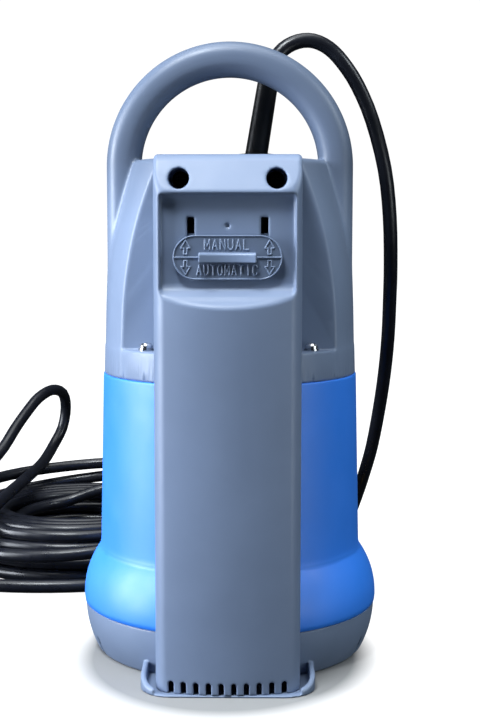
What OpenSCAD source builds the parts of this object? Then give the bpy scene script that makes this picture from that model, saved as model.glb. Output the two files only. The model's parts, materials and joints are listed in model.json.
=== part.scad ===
// Submersible drainage pump with a float switch column, a carrying handle and a 10 m mains lead.
// Millimetres. +Z is up, the pump shaft is the Z axis and the floor is z = 0.
// The float column faces -Y and the discharge port faces +Y.

/* [Pump body] */
// Radius of the blue body at its top rim
body_top_r = 72; // [71.6:0.1:72.6]
// Radius of the blue body where it meets the bulge
body_low_r = 74.2; // [73.8:0.1:74.6]
// Largest radius of the bulge round the pump chamber
bulge_r = 84; // [83.6:0.1:84.4]
// Height of the body's top rim above the floor
body_top_z = 157; // [156.5:0.5:158]
// Wall thickness of the moulded shells
wall = 3; // [2.8:0.1:3.2]

/* [Strainer base] */
// Height of the strainer base
base_h = 26.5; // [26:0.5:27]
// Width of each suction slot
suction_slot_w = 3; // [2.4:0.2:3.6]
// Number of suction slots round the sides and the back
suction_slots = 20; // [10:1:20]

/* [Cap and handle] */
// Height of the flat top of the cap
cap_top_z = 276; // [274:1:278]
// Height of the ledges that carry the cap screws
ledge_z = 173; // [172:0.5:174]
// Half the depth of the cap above the ledges
cap_half_depth = 40; // [39:0.5:40]
// Outer radius of the handle's arch
handle_r = 69.3; // [69:0.1:69.5]
// Thickness of the handle's bar, seen from the front
handle_t = 19.4; // [18:0.2:20]
// Depth of the handle's bar, front to back
handle_depth = 27; // [24:1:28]

/* [Float column] */
// Width of the column
column_w = 75; // [74:0.5:76]
// Distance from the shaft to the column's convex front
column_front = 100; // [99.5:0.5:101]
// Wall thickness of the column
column_wall = 2.4; // [2:0.2:2.6]
// Travel of the float
float_travel = 70; // [60:1:72]

/* [Mode slider] */
// Width of the slider's plate
slider_w = 55; // [50:1:57]
// Height of the slider's plate
slider_h = 22.4; // [21:0.2:22.6]
// Travel from automatic up to manual
slider_travel = 9; // [7:0.5:9]

/* [Mains lead] */
// Diameter of the lead
cord_d = 8.6; // [8:0.1:9]
// Length of the bend protector above the cap
boot_len = 54; // [45:1:58]

/* [Hidden] */
$fn = 96;
eps = 0.01;
gap = 0.3;

// Strainer base
base_r = bulge_r - 0.8;          // radius at the joint with the body
base_curve = 55;                 // radius of the bowl's side curve
base_wall = 2.6;
floor_t = 3;
post_r = 69;                     // circle of the base screws
post_angles = [48, 132, 228, 312];   // from the front
slot_first = 66;                 // first suction slot, from the front
slot_pitch = 12;
slot_top_z = 9;
foot_half_w = 45.5;              // half the width of the foot under the column
foot_t = 1;

// Pump chamber and discharge
bulge_curve = 45;                // radius of the bulge's side curve
bulge_z = 30;                    // height of the bulge's widest place
bulge_end = acos((body_low_r - bulge_r + bulge_curve) / bulge_curve);   // where the straight body starts
deck_z = 54;                     // underside of the deck over the pump chamber
deck_t = 4;
chamber_r = 55;                  // inside radius of the pump chamber
port_z = 43.5;                   // height of the discharge port's axis
port_bore_r = 12.5;
port_r = 16.6;
thread_r = 20.9;                 // outside of the 1 1/4 inch discharge thread
thread_pitch = 2.3;
port_end_y = 108;
cover_screw_r = 61.5;            // circle of the suction plate's screws
cover_angles = [-90, 30, 150];

// Cap
cap_foot_r = body_top_r - 0.8;
cap_screw_xy = 44.5;             // the four cap screws stand on a square
boss_r = 5.5;
handle_mid_r = handle_r - handle_t / 2;
handle_z = cap_top_z - 3.5;      // centre of the handle's arch

// Motor
shaft_r = 6;
can_r = 52;
stack_z0 = 82;
stack_z1 = 132;
bearing_r = 16;
slots = 24;

// Column
frame_y = -95;                   // lower front edge of the frame above the recess
shoulder_y = -82;                // front edge of the column's top
recess_y = -89.5;                // floor of the slider's recess
recess_half_w = 34;
recess_z0 = 209;
recess_z1 = 256;
recess_curve = 5.2;              // radius under the frame
sill_drop = 9;                   // fall of the sill from the recess to the front
leg_x = 18.5;                    // the slider's legs, either side of the middle
leg_w = 3.2;
leg_h = 9;
slider_z = 224.2;                // middle of the slider's plate, at automatic
cover_screw_x = 24.5;
cover_screw_z = 263.5;
float_z = 52;                    // underside of the float at rest
float_h = 44;
float_half_w = 30;

// Lead
boot_foot = [15, 24, cap_top_z];
boot_lean = 9.2;                 // degrees towards +X
clamp_x = [2.5, 27.5];           // the clamp's two screws
pod_spigot_z = 225;              // tube that leads the switch wires into the cap
cord_r = cord_d / 2;
coil_centre = [-112, 196, 0];
coil_out_r = 100;
coil_in_r = 50;
coil_h = 50;
cord_route = [[22.4, 24, 325], [24.6, 24, 333], [30.5, 25, 341], [39, 26, 345.5], [48, 27, 346],
    [57, 28, 342], [65, 28, 334], [74, 30, 321], [83, 32, 301], [91, 36, 273], [95, 42, 245], [97, 52, 216],
    [98, 64, 194], [99, 80, 170], [99, 98, 145], [98, 120, 118], [96, 145, 89], [93, 163, 68],
    [89, 182, 46], [84, 199, 26], [76, 216, 11], [64, 231, 4.5], [48, 244, 4.4], [26, 257, 4.4],
    [0, 269, 4.4], [-30, 281, 4.4], [-62, 291, 4.4], [-94, 296, 4.4]];
// from the top of the coil round its left side, up in a springy loop, down and on to the plug
end_route = [[-190, 241, 44], [-204, 219, 45], [-216, 197, 44], [-225, 173, 41], [-230, 148, 37],
    [-226, 125, 33], [-211, 108, 31], [-192, 105, 32], [-176, 115, 36], [-168, 134, 41],
    [-165, 158, 45], [-162, 182, 47], [-158, 210, 49], [-154, 238, 51], [-151, 266, 53],
    [-150, 289, 55], [-148, 309, 60], [-142, 322, 73], [-139, 322, 90], [-140, 312, 103],
    [-146, 294, 108], [-154, 276, 104], [-160, 259, 96], [-166, 240, 86], [-172, 220, 74],
    [-181, 199, 62], [-191, 178, 49], [-201, 158, 33], [-208, 137, 17], [-205, 117, 7],
    [-190, 102, 4.4], [-165, 94, 4.4], [-130, 90, 4.4], [-95, 93, 4.4], [-65, 103, 4.4],
    [-44, 117, 5.5], [-27, 132.5, 8.5], [-16, 146.5, 13], [-6, 153.5, 17.5], [6, 156, 20]];
plug_at = [49, 156, 20];

// ---- helpers -------------------------------------------------------------------------------

// Points on an arc about c, from angle a to angle b.
function arc(c, r, a, b, n = 12) = [for (i = [0:n]) c + r * [cos(a + (b - a) * i / n),
    sin(a + (b - a) * i / n)]];

// Points of a rounded bar's section: half sizes a and b, squarer than an ellipse.
function bar_section(a, b, power = 2.6, n = 32) = [for (i = [0:n - 1]) let (t = 360 * i / n)
    [a * sign(cos(t)) * pow(abs(cos(t)), 2 / power), b * sign(sin(t)) * pow(abs(sin(t)), 2 / power)]];

// A smooth curve through points p, with n steps between each pair.
function spline_at(a, b, c, d, t) = 0.5 * ((2 * b) + (c - a) * t + (2 * a - 5 * b + 4 * c - d)
    * t * t + (3 * b - a - 3 * c + d) * t * t * t);
function spline(p, n) = [for (i = [0:len(p) - 2]) for (k = [0:n - 1]) spline_at(p[max(i - 1, 0)],
    p[i], p[i + 1], p[min(i + 2, len(p) - 1)], k / n), p[len(p) - 1]];

function unit(v) = v / norm(v);
function tangents(p) = [for (i = [0:len(p) - 1]) unit(p[min(i + 1, len(p) - 1)] - p[max(i - 1, 0)])];
// Normals carried along the path without twist.
function normals(t, i = 0, last = [0.2, 1, 0.1], out = []) = i == len(t) ? out
    : let (n = unit(last - (last * t[i]) * t[i])) normals(t, i + 1, n, concat(out, [n]));

// A round tube along path p, closed at both ends.
module tube_along(p, r, sides = 8) {
    t = tangents(p);
    n = normals(t);
    last = len(p) - 1;
    points = [for (i = [0:last]) for (k = [0:sides - 1]) let (a = 360 * k / sides)
        p[i] + r * (cos(a) * n[i] + sin(a) * cross(t[i], n[i]))];
    faces = concat([[for (k = [0:sides - 1]) k]],
        [for (i = [0:last - 1]) for (k = [0:sides - 1]) [i * sides + k, (i + 1) * sides + k,
            (i + 1) * sides + (k + 1) % sides, i * sides + (k + 1) % sides]],
        [[for (k = [sides - 1:-1:0]) last * sides + k]]);
    polyhedron(points, faces);
}

module ring(r_out, r_in, z0, z1) {
    translate([0, 0, z0]) difference() {
        cylinder(r = r_out, h = z1 - z0);
        translate([0, 0, -1]) cylinder(r = r_in, h = z1 - z0 + 2);
    }
}

// A rod or hole along +Y from y0 to y1.
module rod_y(r, y0, y1, x = 0, z = 0) {
    translate([x, y0, z]) rotate([-90, 0, 0]) cylinder(r = r, h = y1 - y0);
}

module block(low, high) {
    translate(low) cube(high - low);
}

// Places its children at a radius and at each angle counted from the front, -Y.
module round_front(r, angles) {
    for (a = angles) rotate([0, 0, a - 90]) translate([r, 0, 0]) rotate([0, 0, 90 - a]) children();
}

module pan_screw(shank_r, shank_len, head_r, head_h) {
    difference() {
        union() {
            translate([0, 0, -shank_len]) cylinder(r = shank_r, h = shank_len + eps, $fn = 32);
            cylinder(r = head_r, h = head_h * 0.6, $fn = 48);
            translate([0, 0, head_h * 0.6 - eps])
                cylinder(r1 = head_r, r2 = head_r * 0.72, h = head_h * 0.4, $fn = 48);
        }
        for (a = [0, 90]) rotate([0, 0, a])
            translate([-head_r * 0.55, -0.5, head_h * 0.45]) cube([head_r * 1.1, 1, head_h]);
    }
}

// ---- strainer base -------------------------------------------------------------------------

function bowl(inset) = let (c = [base_r - base_curve, base_h], r = base_curve - inset,
    low = inset > 0 ? floor_t : 1.4) arc(c, r, asin((low - base_h) / r), 0);

module foot_outline(inset = 0) {
    r = 16;
    w = foot_half_w - inset;
    y = column_front - 0.4 - inset;
    polygon(concat([[-w, -60]], [for (p = arc([-w + r, -y + r], r, 180, 270)) p],
        [for (p = arc([w - r, -y + r], r, 270, 360)) p], [[w, -60]]));
}

module strainer_base() {
    color([0.44, 0.49, 0.58]) difference() {
        union() {
            rotate_extrude() polygon(concat([[0, 0], [75, 0]], bowl(0),
                [[base_r - base_wall, base_h]], [for (i = [11:-1:0]) bowl(base_wall)[i]],
                [[0, floor_t]]));
            // foot under the column, with a low rim round it that slopes down to the front
            difference() {
                linear_extrude(8.4) foot_outline();
                side_prism(60, [[-120, 3.4], [-97, 3.4], [-80, 8.4], [-80, 9], [-120, 9]]);
                translate([0, 0, foot_t]) linear_extrude(10) foot_outline(2.8);
                block([-column_w / 2 - gap, -110, foot_t], [column_w / 2 + gap, -50, 10]);
                cylinder(r = 76.2, h = 12);
            }
            round_front(post_r, post_angles) translate([0, 0, 1]) cylinder(r = 5, h = base_h - 1);
        }
        for (i = [0:suction_slots - 1]) rotate([0, 0, slot_first + i * slot_pitch - 90]) {
            block([70, -suction_slot_w / 2, -1], [90, suction_slot_w / 2, slot_top_z]);
            translate([70, 0, slot_top_z]) rotate([0, 90, 0])
                cylinder(r = suction_slot_w / 2, h = 20, $fn = 24);
        }
        round_front(post_r, post_angles) {
            translate([0, 0, -1]) cylinder(r = 2.3, h = 40, $fn = 32);
            translate([0, 0, -1]) cylinder(r = 4.6, h = 5, $fn = 48);
        }
    }
}

module base_screws() {
    color([0.78, 0.78, 0.8]) round_front(post_r, post_angles)
        translate([0, 0, 3.9]) rotate([180, 0, 0]) pan_screw(2, 38, 4.2, 3);
}

// ---- pump chamber --------------------------------------------------------------------------

module suction_plate() {
    color([0.12, 0.12, 0.13]) difference() {
        union() {
            translate([0, 0, 22.4]) cylinder(r = 57.6, h = 4);
            for (a = cover_angles) rotate([0, 0, a]) hull() {
                translate([cover_screw_r, 0, 22.4]) cylinder(r = 4.4, h = 4, $fn = 32);
                translate([54, 0, 22.4]) cylinder(r = 5, h = 4, $fn = 32);
            }
            translate([0, 0, 12]) cylinder(r = 19.5, h = 11);
        }
        translate([0, 0, 11]) cylinder(r = 17, h = 20);
        for (a = cover_angles) rotate([0, 0, a]) translate([cover_screw_r, 0, 20])
            cylinder(r = 2.2, h = 10, $fn = 32);
    }
}

module suction_plate_screws() {
    color([0.78, 0.78, 0.8]) for (a = cover_angles) rotate([0, 0, a])
        translate([cover_screw_r, 0, 22.35]) rotate([180, 0, 0]) pan_screw(1.7, 20, 3.4, 2.4);
}

function bulge(inset, n = 12) = let (c = [bulge_r - bulge_curve, bulge_z], r = bulge_curve - inset)
    arc(c, r, asin((base_h - bulge_z) / r), inset > 0 ? asin((deck_z - bulge_z) / r) : bulge_end, n);

// Outside of the discharge port: a plain barrel, a collar and the thread's ridges.
module discharge_port() {
    turns = 8;
    translate([0, 0, port_z]) rotate([-90, 0, 0]) rotate_extrude() polygon(concat([[0, 53],
        [port_r, 53], [port_r, 84.4], [thread_r, 84.4], [thread_r, 86.5]],
        [for (i = [0:turns - 1]) for (q = [[thread_r - 1.3, 0.5], [thread_r, 1.2],
        [thread_r, 1.7], [thread_r - 1.3, 2.2]]) [q[0], 87 + i * thread_pitch + q[1]]],
        [[thread_r - 1.3, port_end_y], [0, port_end_y]]));
}

module body_shell() {
    color([0.16, 0.46, 0.86]) difference() {
        union() {
            rotate_extrude() polygon(concat(bulge(0), [[body_top_r, body_top_z],
                [body_top_r - wall, body_top_z], [body_top_r - wall, body_top_z - 2],
                [body_top_r - 2 * wall, body_top_z - 2], [body_top_r - 2 * wall, body_top_z - 4],
                [body_top_r - wall, body_top_z - 7], [body_low_r - wall, deck_z + deck_t],
                [26, deck_z + deck_t], [26, deck_z], [chamber_r, deck_z], [chamber_r, base_h],
                [chamber_r + wall, base_h], [chamber_r + wall, deck_z]],
                [for (i = [12:-1:0]) bulge(wall)[i]]));
            round_front(post_r, post_angles) translate([0, 0, base_h])
                cylinder(r = 5, h = deck_z - base_h + 1);
            for (a = cover_angles) rotate([0, 0, a]) translate([cover_screw_r, 0, base_h])
                cylinder(r = 4.4, h = deck_z - base_h + 1, $fn = 48);
            for (x = [-1, 1], y = [-1, 1])
                translate([x * cap_screw_xy, y * cap_screw_xy, body_top_z - 45])
                    cylinder(r = 7, h = 40);
            discharge_port();
        }
        translate([0, 0, port_z]) rod_y(port_bore_r, 40, 120);
        round_front(post_r, post_angles) translate([0, 0, 20]) cylinder(r = 2.1, h = 26, $fn = 32);
        for (a = cover_angles) rotate([0, 0, a]) translate([cover_screw_r, 0, 20])
            cylinder(r = 1.8, h = 26, $fn = 32);
        for (x = [-1, 1], y = [-1, 1])
            translate([x * cap_screw_xy, y * cap_screw_xy, body_top_z - 22])
                cylinder(r = 2.1, h = 30, $fn = 32);
    }
}

module impeller() {
    color([0.9, 0.88, 0.8]) difference() {
        union() {
            translate([0, 0, 41.5]) cylinder(r = 47, h = 2.5);
            translate([0, 0, 30]) cylinder(r = 9, h = 14.4);
            intersection() {
                translate([0, 0, 28.5]) cylinder(r = 47, h = 13.2);
                for (i = [0:5]) rotate([0, 0, 60 * i]) translate([0, 30, 28.5])
                    ring(31, 28.6, 0, 13.2);
                // each vane is an arc that sweeps out from the hub
                difference() {
                    translate([0, 0, 28]) cylinder(r = 48, h = 14);
                    translate([0, 0, 27]) cylinder(r = 7, h = 16);
                }
            }
        }
        translate([0, 0, 20]) cylinder(r = 5.02, h = 40, $fn = 48);
    }
}

module impeller_nut() {
    color([0.75, 0.75, 0.78]) difference() {
        translate([0, 0, 25]) cylinder(r = 5.8, h = 4.9, $fn = 6);
        translate([0, 0, 20]) cylinder(r = 3.02, h = 20, $fn = 32);
    }
}

// ---- motor ---------------------------------------------------------------------------------

module motor_shaft() {
    color([0.7, 0.7, 0.72]) {
        translate([0, 0, 44.5]) cylinder(r = shaft_r, h = 105.7, $fn = 64);
        translate([0, 0, 30]) cylinder(r = 5, h = 14.6, $fn = 48);
        translate([0, 0, 24]) cylinder(r = 3, h = 6.1, $fn = 32);
    }
}

module rotor_core() {
    color([0.5, 0.5, 0.52]) {
        ring(26.4, shaft_r + 0.02, stack_z0, stack_z1);
        for (z = [stack_z0 - 4, stack_z1 - eps]) ring(25, 17, z, z + 4 + eps);
    }
}

module stator_slots(half_w, r0, r1) {
    for (i = [0:slots - 1]) rotate([0, 0, i * 360 / slots])
        translate([r0, -half_w]) square([r1 - r0, 2 * half_w]);
}

module stator_core() {
    color([0.42, 0.42, 0.44]) translate([0, 0, stack_z0]) linear_extrude(stack_z1 - stack_z0)
        difference() {
            circle(r = 50);
            circle(r = 27);
            stator_slots(2.4, 26, 40);
        }
}

module stator_windings() {
    color([0.72, 0.42, 0.2]) {
        for (z = [[stack_z0 - 12, stack_z0 - 0.2], [stack_z1 + 0.2, stack_z1 + 12]])
            ring(41, 29, z[0], z[1]);
        translate([0, 0, stack_z0 - 1]) linear_extrude(stack_z1 - stack_z0 + 2)
            stator_slots(2.1, 29.2, 39.6);
    }
}

module motor_can() {
    color([0.7, 0.71, 0.73]) ring(can_r, can_r - 1, deck_z + deck_t + 0.1, 154);
}

module lower_bracket() {
    color([0.75, 0.76, 0.78]) difference() {
        union() {
            translate([0, 0, deck_z + deck_t + 0.1]) cylinder(r = can_r - 1.1, h = 6);
            translate([0, 0, 46]) cylinder(r = 25.7, h = 14);
            translate([0, 0, 62]) cylinder(r = 19.5, h = 14);
        }
        translate([0, 0, 45]) cylinder(r = 6.6, h = 10, $fn = 48);
        translate([0, 0, 49]) cylinder(r = 15, h = 14);
        translate([0, 0, 62]) cylinder(r = 14, h = 5);
        translate([0, 0, 66]) cylinder(r = bearing_r, h = 12);
    }
}

module upper_bracket() {
    color([0.75, 0.76, 0.78]) difference() {
        union() {
            translate([0, 0, 150.4]) cylinder(r = can_r - 1.1, h = 3.5);
            translate([0, 0, 139]) cylinder(r = 19.5, h = 12);
        }
        translate([0, 0, 138]) cylinder(r = bearing_r, h = 13);
    }
}

module bearing(z) {
    color([0.62, 0.63, 0.66]) translate([0, 0, z]) rotate_extrude() polygon([[shaft_r + 0.04, 0],
        [9, 0], [9.4, 0.6], [13, 0.6], [13.4, 0], [bearing_r - 0.02, 0], [bearing_r - 0.02, 10],
        [13.4, 10], [13, 9.4], [9.4, 9.4], [9, 10], [shaft_r + 0.04, 10]]);
}

module lower_bearing() { bearing(66); }
module upper_bearing() { bearing(140.3); }

module seal_seat() {
    color([0.93, 0.92, 0.88]) ring(14.9, 6.6, 49.1, 53);
}

module seal_spring() {
    color([0.66, 0.66, 0.68]) {
        ring(10.5, shaft_r + 0.02, 53.3, 55.3);
        for (i = [0:2]) translate([0, 0, 56.2 + 2 * i]) rotate_extrude()
            translate([8.6, 0]) circle(r = 0.9, $fn = 20);
        ring(9.4, shaft_r + 0.02, 55.2, 62);
    }
}

// ---- cap -----------------------------------------------------------------------------------

// Radius of the cap's dome at height z: nearly straight at first, then drawn in to the top.
function dome_r(z) = cap_foot_r - 0.6 * (z - body_top_z) / 20
    - 13.2 * pow(max(0, (z - 190) / (cap_top_z - 190)), 2);

module dome(inset, z0, z1) {
    n = 16;
    rotate_extrude() polygon(concat([[0, z0]], [for (i = [0:n]) let (z = z0 + (z1 - z0) * i / n)
        [dome_r(z) - inset, z]], [[0, z1]]));
}

module handle() {
    half = [handle_t / 2, handle_depth / 2];
    translate([0, 0, handle_z - eps]) rotate([90, 0, 0]) rotate_extrude(angle = 180)
        translate([handle_mid_r, 0]) polygon(bar_section(half[0], half[1]));
    for (x = [-1, 1]) translate([x * handle_mid_r, 0, 165])
        linear_extrude(handle_z - 165) polygon(bar_section(half[0], half[1]));
}

module top_cap() {
    color([0.44, 0.49, 0.58]) difference() {
        union() {
            dome(0, body_top_z, ledge_z);
            intersection() {
                dome(0, ledge_z - 1, cap_top_z);
                block([-90, -cap_half_depth, 160], [90, cap_half_depth, 300]);
            }
            handle();
        }
        difference() {
            union() {
                dome(wall, body_top_z - 1, ledge_z - wall);
                intersection() {
                    dome(wall + 0.4, ledge_z - wall - 1, cap_top_z - wall);
                    block([-90, -cap_half_depth + wall, 160], [90, cap_half_depth - wall, 300]);
                }
            }
            for (x = [-1, 1], y = [-1, 1])
                translate([x * cap_screw_xy, y * cap_screw_xy, body_top_z])
                    cylinder(r = boss_r, h = ledge_z - body_top_z);
            for (x = [-1, 1]) rod_y(5, -cap_half_depth, -cap_half_depth + 14,
                x * cover_screw_x, cover_screw_z);
            for (x = clamp_x) translate([x, boot_foot[1], cap_top_z - 8]) cylinder(r = 4, h = 8);
        }
        for (x = [-1, 1], y = [-1, 1])
            translate([x * cap_screw_xy, y * cap_screw_xy, body_top_z - 5])
                cylinder(r = 2.3, h = 30, $fn = 32);
        for (x = [-1, 1]) rod_y(1.8, -cap_half_depth - 1, -cap_half_depth + 12,
            x * cover_screw_x, cover_screw_z);
        translate([boot_foot[0], boot_foot[1], cap_top_z - 10]) cylinder(r = 7.2, h = 20);
        for (x = clamp_x) translate([x, boot_foot[1], cap_top_z - 20]) cylinder(r = 1.5, h = 17);
        rod_y(8.1, -50, -20, 0, pod_spigot_z);
    }
}

module cap_gasket() {
    color([0.08, 0.08, 0.09]) ring(body_top_r - wall - 0.05, body_top_r - wall - 2.4,
        body_top_z - 1.95, body_top_z - 0.05);
}

module at_cap_screws() {
    for (x = [-1, 1], y = [-1, 1]) translate([x * cap_screw_xy, y * cap_screw_xy, ledge_z])
        children();
}

module cap_washers() {
    color([0.8, 0.8, 0.82]) at_cap_screws() ring(4.3, 2.3, 0.05, 1.05);
}

module cap_screws() {
    color([0.82, 0.82, 0.84]) at_cap_screws() translate([0, 0, 1.1]) pan_screw(2, 36, 3.6, 2.8);
}

module run_capacitor() {
    color([0.9, 0.9, 0.92]) {
        translate([-24, 0, 154]) cylinder(r = 17, h = 58);
        for (x = [-28, -20]) block([x - 0.4, -3, 212 - eps], [x + 0.4, 3, 220]);
    }
}

module terminal_block() {
    color([0.92, 0.92, 0.9]) difference() {
        block([8, -9, 154], [44, 9, 170]);
        for (i = [0:3]) translate([13 + i * 8.6, 0, 164]) cylinder(r = 2, h = 10, $fn = 24);
    }
}

// ---- float column --------------------------------------------------------------------------

// Outline of the column: an arc about the shaft with rounded corners and straight sides.
module column_outline(inset) {
    r = 6 - inset / 2;
    w = column_w / 2 - inset;
    front = column_front - inset;
    corner_y = -sqrt(pow(front - r, 2) - pow(w - r, 2));
    a = asin((w - r) / (front - r));
    polygon(concat([[-w, -30]], arc([-w + r, corner_y], r, 180, 270 - a, 6),
        [for (i = [1:15]) front * [sin(-a + 2 * a * i / 16), -cos(-a + 2 * a * i / 16)]],
        arc([w - r, corner_y], r, 270 + a, 360, 6), [[w, -30]]));
}

// Everything in front of the cap's sloping shoulder and the slider's sill.
// A prism along X from points of its side view, [y, z].
module side_prism(half_w, points) {
    translate([-half_w, 0, 0]) rotate([90, 0, 90]) linear_extrude(2 * half_w) polygon(points);
}

// Height of the sill's slope at y.
function sill_z(y) = recess_z0 - sill_drop * (recess_y - y) / (recess_y + column_front);

// Bodies behind the column, grown by the gap, so that the column's walls end short of them.
module behind_column() {
    g = gap + 0.1;
    rotate_extrude() polygon(concat([[0, -1], [77.4, -1]],
        arc([base_r - base_curve, base_h], base_curve + g,
        -27, -0.3, 6), arc([bulge_r - bulge_curve, bulge_z], bulge_curve + g, -4, bulge_end, 6),
        [[body_top_r + g, body_top_z], [body_top_r + g, ledge_z + g], [0, ledge_z + g]]));
}

module float_cover() {
    color([0.46, 0.51, 0.6]) difference() {
        union() {
            difference() {
                translate([0, 0, foot_t + 0.1]) linear_extrude(cap_top_z - foot_t - 0.1)
                    column_outline(0);
                // the frame slopes back to the top, the sill slopes down to the front
                side_prism(60, [[-120, sill_z(-120)], [frame_y, sill_z(frame_y)],
                    [frame_y, recess_z1], [shoulder_y, cap_top_z], [shoulder_y, 300], [-120, 300]]);
                side_prism(recess_half_w, concat([[-110, sill_z(-110)], [recess_y, recess_z0]],
                    arc([recess_y - recess_curve, recess_z1 - recess_curve], recess_curve, 0, 90, 6),
                    [[-110, recess_z1]]));
                // inside
                intersection() {
                    translate([0, 0, -5]) linear_extrude(300) column_outline(column_wall);
                    side_prism(60, [[-120, -10], [0, -10], [0, 273.4], [-80.5, 273.4],
                        [recess_y + column_wall, 262], [recess_y + column_wall, 206.5],
                        [-97.4, 198], [-120, 198]]);
                }
            }
            // bosses for the two screws
            for (x = [-1, 1]) rod_y(7.2, -89, -30, x * cover_screw_x, cover_screw_z);
            // shelf that stops the float
            translate([-36, -90, float_z + float_h + float_travel + 1]) cube([72, 13, 2]);
            // ribs that carry the float at rest
            for (x = [-20, 20]) block([x - 1, -96.5, 30], [x + 1, -87, float_z - gap]);
        }
        // keep clear of the cap, the body and the base
        block([-60, -cap_half_depth - 0.1, ledge_z - 20], [60, 0, 300]);
        behind_column();
        // slots for the slider's legs
        for (x = [-1, 1]) block([x * leg_x - leg_w / 2 - gap, recess_y - 2, slider_z + 1.8 - gap],
            [x * leg_x + leg_w / 2 + gap, recess_y + 4, slider_z + 1.8 + leg_h + slider_travel + gap]);
        // detent dimple
        translate([0, recess_y - 0.2, 239.9]) sphere(r = 1.4, $fn = 24);
        // screw holes, counterbored from the front
        for (x = [-1, 1]) {
            rod_y(2.4, -110, -30, x * cover_screw_x, cover_screw_z);
            rod_y(5.3, -110, -66, x * cover_screw_x, cover_screw_z);
        }
        // water inlets along the foot
        for (i = [0:9]) {
            x = -29 + 6.45 * i;
            block([x - 1.35, -110, foot_t + 0.6], [x + 1.35, -88, 6]);
            rod_y(1.35, -110, -88, x, 6, $fn = 24);
        }
    }
}

module float_cover_screws() {
    color([0.3, 0.3, 0.32]) for (x = [-1, 1])
        translate([x * cover_screw_x, -66.1, cover_screw_z]) rotate([90, 0, 0])
            pan_screw(1.6, 34, 4.2, 3);
}

module float_back_plate() {
    color([0.44, 0.49, 0.58]) block([-34.6, -76.9, 60], [34.6, -75.1, 166.5]);
}

module float_outline(inset) {
    r = 95 - inset;
    w = float_half_w - inset;
    a = asin(w / r);
    polygon(concat([[-w, -79 - inset]], arc([0, 0], r, 270 - a, 270 + a, 12), [[w, -79 - inset]]));
}

module float_shell() {
    color([0.88, 0.5, 0.12]) difference() {
        translate([0, 0, float_z]) linear_extrude(float_h) float_outline(0);
        translate([0, 0, float_z - 1]) linear_extrude(float_h - 1) float_outline(1.6);
        block([-11, -80.6, float_z + float_h - 11], [11, -78, float_z + float_h - 3]);
    }
}

module float_lid() {
    color([0.8, 0.44, 0.1]) translate([0, 0, float_z]) linear_extrude(1.6) float_outline(1.65);
}

module float_magnet() {
    color([0.35, 0.35, 0.37]) block([-10.9, -80.5, float_z + float_h - 10.9],
        [10.9, -79.05, float_z + float_h - 3.1]);
}

// Sealed pod behind the recess, with a tube that leads its wires into the cap.
module switch_pod() {
    color([0.2, 0.21, 0.23]) difference() {
        union() {
            block([-18, -78, 176], [18, -42.6, 250]);
            rod_y(7.9, -42.7, -31, 0, pod_spigot_z);
        }
        block([-16, -76, 178], [16, -45, 248]);
        rod_y(5, -50, -20, 0, pod_spigot_z);
    }
}

module pod_seal() {
    color([0.08, 0.08, 0.09]) difference() {
        rod_y(11, -42.55, -40.05, 0, pod_spigot_z);
        rod_y(8, -50, -30, 0, pod_spigot_z);
    }
}

module pod_nut() {
    color([0.2, 0.21, 0.23]) difference() {
        rod_y(12, -36.9, -32.5, 0, pod_spigot_z, $fn = 6);
        rod_y(8, -50, -20, 0, pod_spigot_z);
    }
}

module reed_switches() {
    color([0.75, 0.85, 0.8]) for (z = [180.5, 238]) translate([0, -73.5, z]) rotate([0, 90, 0]) {
        translate([0, 0, -9]) cylinder(r = 1.6, h = 18, $fn = 24);
        for (x = [-14, 9 - eps]) translate([0, 0, x]) cylinder(r = 0.5, h = 5 + eps, $fn = 16);
    }
}

// ---- mode slider ---------------------------------------------------------------------------

module mode_slider() {
    y0 = recess_y - gap;
    end_x = slider_w / 2 - slider_h / 2;
    color([0.36, 0.4, 0.47]) {
        translate([0, 0, slider_z]) {
            for (x = [-1, 1]) rod_y(slider_h / 2, y0 - 2.4, y0, x * end_x);
            block([-end_x, y0 - 2.4, -slider_h / 2], [end_x, y0, slider_h / 2]);
            // centre rib and grip
            block([-slider_w / 2 + 0.3, y0 - 2.8, -0.4], [slider_w / 2 - 0.3, y0 - 2.3, 0.4]);
            intersection() {
                block([-14.3, y0 - 7.4, -2.2], [14.3, y0 - 2.3, 2.2]);
                difference() {
                    block([-20, -110, -5], [20, -80, 5]);
                    translate([0, y0 - 47.4 + 1.4, -10]) cylinder(r = 41, h = 20, $fn = 128);
                }
            }
        }
        for (x = [-1, 1]) block([x * leg_x - leg_w / 2, y0 - 0.5, slider_z + 1.8],
            [x * leg_x + leg_w / 2, recess_y + 4.6, slider_z + 1.8 + leg_h]);
    }
}

module slider_clip() {
    color([0.3, 0.32, 0.36]) difference() {
        block([-23, recess_y + column_wall + gap, slider_z - 4], [23, recess_y + 6, slider_z + 12]);
        for (x = [-1, 1]) block([x * leg_x - leg_w / 2 - 0.05, recess_y, slider_z + 1.75],
            [x * leg_x + leg_w / 2 + 0.05, recess_y + 4.65, slider_z + 1.85 + leg_h]);
        block([-8.05, recess_y + 4, slider_z - 0.05], [8.05, recess_y + 7, slider_z + 8.05]);
    }
}

module slider_magnet() {
    color([0.35, 0.35, 0.37]) block([-8, recess_y + 4.05, slider_z], [8, recess_y + 6, slider_z + 8]);
}

// ---- lead ----------------------------------------------------------------------------------

module gland_nut() {
    color([0.1, 0.1, 0.11]) translate([boot_foot[0], boot_foot[1], 0]) {
        difference() {
            union() {
                translate([0, 0, cap_top_z + 0.05]) cylinder(r = 11.5, h = 5, $fn = 6);
                translate([0, 0, cap_top_z - 6]) cylinder(r = 7.1, h = 7);
            }
            translate([0, 0, cap_top_z - 8]) cylinder(r = 5.4, h = 20);
            translate([0, 0, cap_top_z + 3]) cylinder(r = 8.4, h = 6);
        }
    }
}

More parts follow.
